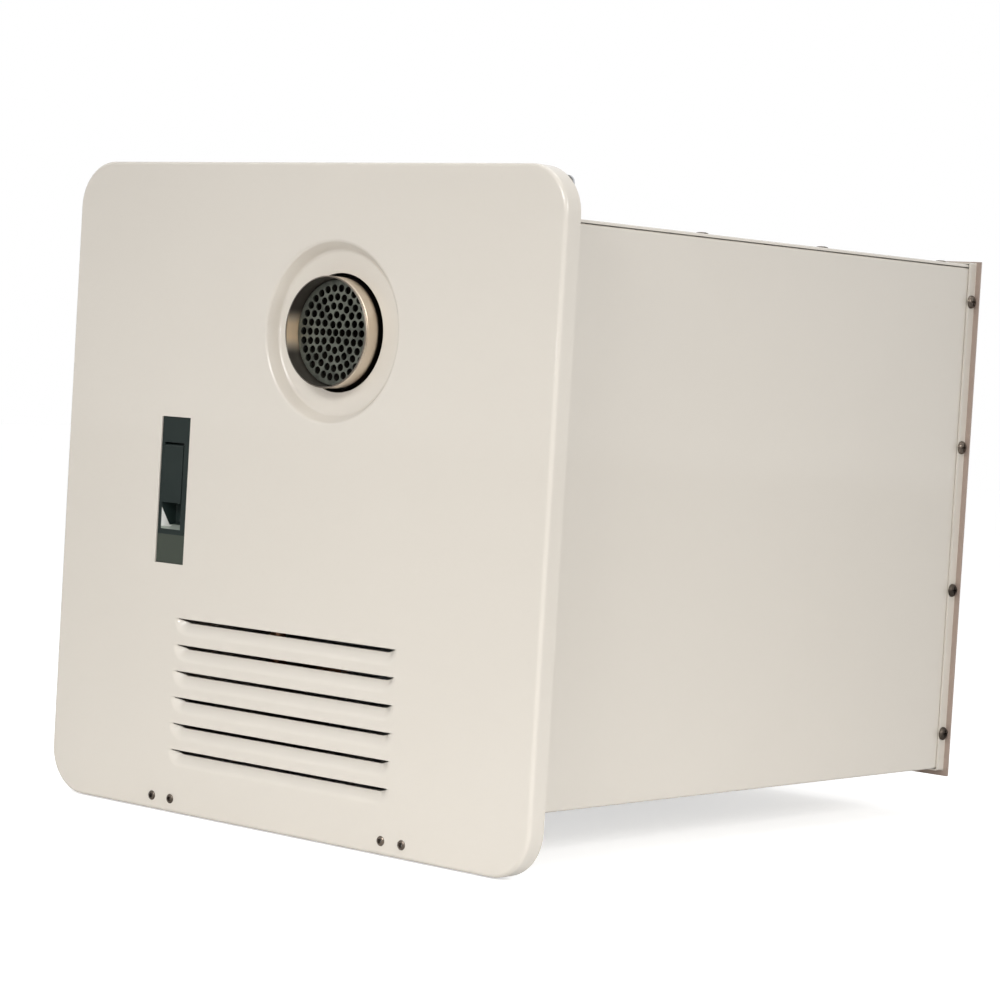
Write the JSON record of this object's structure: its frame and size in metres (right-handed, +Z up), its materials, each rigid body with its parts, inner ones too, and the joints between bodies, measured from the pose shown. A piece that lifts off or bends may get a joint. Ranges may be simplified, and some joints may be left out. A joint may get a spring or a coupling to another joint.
{
  "type": "tankless water heater",
  "caption": "Wall-recessed tankless gas water heater: box case behind a hinged square door with dished flue mouth, perforated exhaust disc, flush paddle latch and pressed louvres.",
  "frame": {"origin": "middle of the case's cross-section, in the plane of the wall's outer face, which is the mounting flange's back face", "axes": "+X to the right seen from the front, +Y into the case and the wall, +Z up"},
  "size_m": [0.381, 0.4777, 0.381],
  "materials": {
    "door_panel": "semi-gloss powder coat",
    "door_gasket": "closed-cell foam",
    "latch_housing": "smooth black moulding",
    "latch_paddle": "smooth black moulding",
    "latch_pin": "plain steel",
    "latch_spring": "plain steel",
    "hinge_door_leaf_left": "galvanised sheet",
    "hinge_door_leaf_right": "galvanised sheet",
    "hinge_case_leaf_left": "galvanised sheet",
    "hinge_case_leaf_right": "galvanised sheet",
    "hinge_pin_left": "plain steel",
    "hinge_pin_right": "plain steel",
    "case_wrapper": "semi-gloss powder coat",
    "top_cover": "semi-gloss powder coat",
    "rear_cover": "semi-gloss powder coat",
    "mounting_flange": "galvanised sheet",
    "latch_keeper": "plain steel",
    "keeper_bar": "galvanised sheet",
    "exhaust_tube": "satin stainless",
    "exhaust_screen": "satin stainless",
    "air_plenum": "galvanised sheet",
    "burner_box": "galvanised sheet",
    "burner_bars": "satin stainless",
    "combustion_chamber": "drawn copper",
    "heat_exchanger_shell": "drawn copper",
    "heat_exchanger_fins": "drawn copper",
    "exhaust_hood": "galvanised sheet",
    "igniter": "glazed",
    "flame_sensor": "glazed",
    "overheat_cutout": "smooth black moulding",
    "blower_housing": "galvanised sheet",
    "blower_motor": "fine grain moulding",
    "blower_impeller": "cast, matt",
    "blower_shaft": "plain steel",
    "gas_inlet_fitting": "machined brass",
    "gas_inlet_pipe": "plain steel",
    "gas_valve": "cast, matt",
    "gas_solenoid_front": "smooth black moulding",
    "gas_solenoid_rear": "smooth black moulding",
    "valve_bracket": "galvanised sheet",
    "gas_supply_tube": "drawn copper",
    "gas_manifold": "machined brass",
    "water_inlet_fitting": "machined brass",
    "water_inlet_pipe": "drawn copper",
    "flow_sensor": "fine grain moulding",
    "flow_rotor": "glazed",
    "chamber_pipe": "drawn copper",
    "water_outlet_pipe": "drawn copper",
    "water_outlet_fitting": "machined brass",
    "control_box": "smooth black moulding",
    "control_board": "solder mask",
    "control_cover": "smooth black moulding",
    "switch_frame": "smooth black moulding",
    "power_rocker": "fine grain moulding",
    "spark_module": "smooth black moulding",
    "spark_lead": "silicone lead",
    "wiring_loom": "cable sheath",
    "cable_gland": "smooth black moulding"
  },
  "bodies": {
    "case": {"hinge_case_leaf_left": "hinge_case_leaf_left", "hinge_case_leaf_right": "hinge_case_leaf_right", "hinge_pin_left": "hinge_pin_left", "hinge_pin_right": "hinge_pin_right", "case_wrapper": "case_wrapper", "top_cover": "top_cover", "rear_cover": "rear_cover", "mounting_flange": "mounting_flange", "latch_keeper": "latch_keeper", "keeper_bar": "keeper_bar", "exhaust_tube": "exhaust_tube", "exhaust_screen": "exhaust_screen", "air_plenum": "air_plenum", "burner_box": "burner_box", "burner_bars": "burner_bars", "combustion_chamber": "combustion_chamber", "heat_exchanger_shell": "heat_exchanger_shell", "heat_exchanger_fins": "heat_exchanger_fins", "exhaust_hood": "exhaust_hood", "igniter": "igniter", "flame_sensor": "flame_sensor", "overheat_cutout": "overheat_cutout", "blower_housing": "blower_housing", "blower_motor": "blower_motor", "gas_inlet_fitting": "gas_inlet_fitting", "gas_inlet_pipe": "gas_inlet_pipe", "gas_valve": "gas_valve", "gas_solenoid_front": "gas_solenoid_front", "gas_solenoid_rear": "gas_solenoid_rear", "valve_bracket": "valve_bracket", "gas_supply_tube": "gas_supply_tube", "gas_manifold": "gas_manifold", "water_inlet_fitting": "water_inlet_fitting", "water_inlet_pipe": "water_inlet_pipe", "flow_sensor": "flow_sensor", "chamber_pipe": "chamber_pipe", "water_outlet_pipe": "water_outlet_pipe", "water_outlet_fitting": "water_outlet_fitting", "control_box": "control_box", "control_board": "control_board", "control_cover": "control_cover", "switch_frame": "switch_frame", "spark_module": "spark_module", "spark_lead": "spark_lead", "wiring_loom": "wiring_loom", "cable_gland": "cable_gland"},
    "door": {"door_panel": "door_panel", "door_gasket": "door_gasket", "latch_housing": "latch_housing", "latch_pin": "latch_pin", "latch_spring": "latch_spring", "hinge_door_leaf_left": "hinge_door_leaf_left", "hinge_door_leaf_right": "hinge_door_leaf_right"},
    "paddle": {"latch_paddle": "latch_paddle"},
    "blower_wheel": {"blower_impeller": "blower_impeller", "blower_shaft": "blower_shaft"},
    "rotor": {"flow_rotor": "flow_rotor"},
    "rocker": {"power_rocker": "power_rocker"}
  },
  "joints": [
    {"name": "door_hinge", "type": "hinge", "parent": "case", "child": "door", "pos_m": [0, -0.0041, -0.1894], "axis": [1, 0, 0], "range_deg": [0, 95], "deforming": ["latch_keeper"]},
    {"name": "latch_press", "type": "hinge", "parent": "door", "child": "paddle", "pos_m": [-0.09765, -0.0107, 0.02], "axis": [-1, 0, 0], "range_deg": [0, 25], "stiffness_Nm_per_rad": 0.05, "deforming": ["latch_spring"]},
    {"name": "blower_spin", "type": "hinge", "parent": "case", "child": "blower_wheel", "pos_m": [0.0245, 0.3523, -0.1047], "axis": [1, 0, 0], "continuous": true},
    {"name": "flow_rotor_spin", "type": "hinge", "parent": "case", "child": "rotor", "pos_m": [0.129, 0.33, -0.122], "axis": [0, 1, 0], "continuous": true},
    {"name": "power_switch", "type": "hinge", "parent": "case", "child": "rocker", "pos_m": [-0.1217, 0.0259, 0.13], "axis": [-1, 0, 0], "range_deg": [0, 22]}
  ]
}
